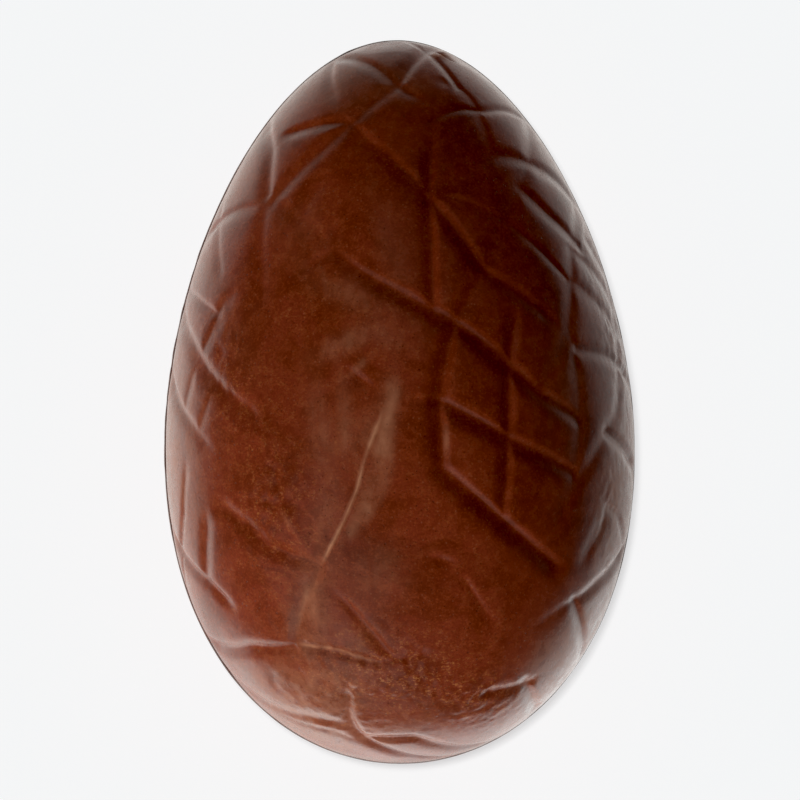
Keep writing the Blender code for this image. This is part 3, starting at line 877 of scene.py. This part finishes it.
def chocolate():
    """Milk chocolate: cocoa brown with milky bloom, painted sheen and painted highlights, pale
    specks, pinholes with painted shade and painted shade along the seam.
    """
    shader = Shader("milk_chocolate")
    mottle = shader.noise(*MOTTLE)
    grain = shader.noise(*GRAIN)
    bloom_and_sheen = bloom_and_sheen_share(shader, mottle)
    specks = shader.ramp(shader.spots(SPECK_SPACING), *SPECK_SHARE)
    pinholes = shader.ramp(shader.spots(PINHOLE_SPACING), *PINHOLES)
    seam = shader.ramp(shader.attribute("seam"), *SEAM_SHARE)
    # milky bloom with painted sheen and painted highlights
    skin = shader.mix(bloom_and_sheen, cocoa_color(shader, mottle, grain), MILKY)
    skin = shader.mix(specks, skin, MILKY)
    # painted shade in the pinholes
    skin = shader.mix(shader.math("MULTIPLY", pinholes, PINHOLE_DARKNESS), skin, PAINTED_SHADE_DARK)
    # painted shade along the seam
    skin = shader.mix(seam, skin, PAINTED_SHADE_DARK)

    roughness = shader.ramp(bloom_and_sheen, *BLOOM_AND_SHEEN_ROUGHNESS)
    roughness = shader.math("ADD", roughness, shader.ramp(mottle, *MOTTLE_ROUGHNESS))

    height = shader.math("MULTIPLY", grain, GRAIN_HEIGHT)
    height = shader.math("ADD", height, shader.math("MULTIPLY", mottle, MOTTLE_HEIGHT))
    height = shader.math("SUBTRACT", height, shader.math("MULTIPLY", pinholes, PINHOLE_DEPTH))

    shader.feed(shader.surface, {"Base Color": skin, "Roughness": roughness,
                                 "Normal": shader.bump(height), "Specular IOR Level": GLOSS})
    return shader.material


def floor_material():
    """Pale floor; the egg's skin mirrors bright pools round the egg that fade outwards."""
    shader = Shader("pale_floor")
    shader.feed(shader.surface, {"Base Color": FLOOR_WHITE, "Roughness": FLOOR_ROUGHNESS,
                                 "Emission Color": FLOOR_TINT, "Emission Strength": FLOOR_GLOW})
    pools = shader.pool(*POOLS[0])
    for pool in POOLS[1:]:
        pools = shader.together(pools, shader.pool(*pool))
    seen = shader.nodes.new("ShaderNodeMixShader")
    ray = shader.nodes.new("ShaderNodeLightPath")
    shader.feed(seen, {0: ray.outputs["Is Camera Ray"], 1: pools,
                       2: shader.surface.outputs["BSDF"]})
    shader.link(seen.outputs["Shader"], shader.nodes["Material Output"].inputs["Surface"])
    return shader.material


def add_floor():
    bpy.ops.mesh.primitive_plane_add(size=FLOOR_SIZE)
    floor = bpy.context.object
    floor.name = "floor"
    floor.data.materials.append(floor_material())
    return floor


def add_light(name, azimuth, elevation, distance, size, power, color, mirrored, lit):
    """A soft square lamp that shines on the objects in lit alone."""
    lamp = bpy.data.lights.new(name, "AREA")
    lamp.size = size
    lamp.energy = power
    lamp.color = color
    light = bpy.data.objects.new(name, lamp)
    azimuth, elevation = math.radians(azimuth), math.radians(elevation)
    target = Vector((0.0, 0.0, SEAM_HEIGHT * MM))
    away = Vector((math.cos(azimuth) * math.cos(elevation), math.sin(azimuth) * math.cos(elevation),
                   math.sin(elevation)))
    light.location = target + away * distance
    light.rotation_euler = away.to_track_quat("Z", "Y").to_euler()
    light.visible_glossy = mirrored
    bpy.context.scene.collection.objects.link(light)
    light.light_linking.receiver_collection = bpy.data.collections.new(name + "_lights")
    for item in lit:
        light.light_linking.receiver_collection.objects.link(item)


def add_world():
    """Plain white surroundings, faint on the egg and bright to the camera."""
    world = bpy.data.worlds.new("studio")
    world.use_nodes = True
    nodes = world.node_tree.nodes
    background = nodes["Background"]
    background.inputs["Color"].default_value = (1.0, 1.0, 1.0, 1.0)
    path = nodes.new("ShaderNodeLightPath")
    seen = nodes.new("ShaderNodeMapRange")
    seen.inputs["To Min"].default_value = WORLD_LIGHT
    seen.inputs["To Max"].default_value = WORLD_SEEN
    world.node_tree.links.new(path.outputs["Is Camera Ray"], seen.inputs["Value"])
    world.node_tree.links.new(seen.outputs["Result"], background.inputs["Strength"])
    bpy.context.scene.world = world


def add_camera():
    data = bpy.data.cameras.new("camera")
    camera = bpy.data.objects.new("camera", data)
    data.sensor_width = SENSOR
    data.lens = SENSOR * CAMERA_DISTANCE / VIEW_WIDTH
    data.clip_end = SEES_AS_FAR_AS
    camera.location = [place * MM for place in (*VIEW_CENTRE, SEAM_HEIGHT + CAMERA_DISTANCE)]
    camera.rotation_euler = (0.0, 0.0, -ROLL)
    bpy.context.scene.collection.objects.link(camera)
    bpy.context.scene.camera = camera


def set_look():
    """Plain colours with the deep blacks of the photograph."""
    view = bpy.context.scene.view_settings
    view.view_transform = "Standard"
    view.use_curve_mapping = True
    view.curve_mapping.black_level = (BLACK_POINT, BLACK_POINT, BLACK_POINT)
    view.curve_mapping.update()


pieces = build_egg(chocolate())
for piece in pieces:
    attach(piece, "root")
    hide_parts("chocolate_egg")
floor = add_floor()
for lamp in EGG_LAMPS:
    add_light(*lamp, lit=pieces)
for lamp in FLOOR_LAMPS:
    add_light(*lamp, lit=[floor])
add_world()
add_camera()
set_look()
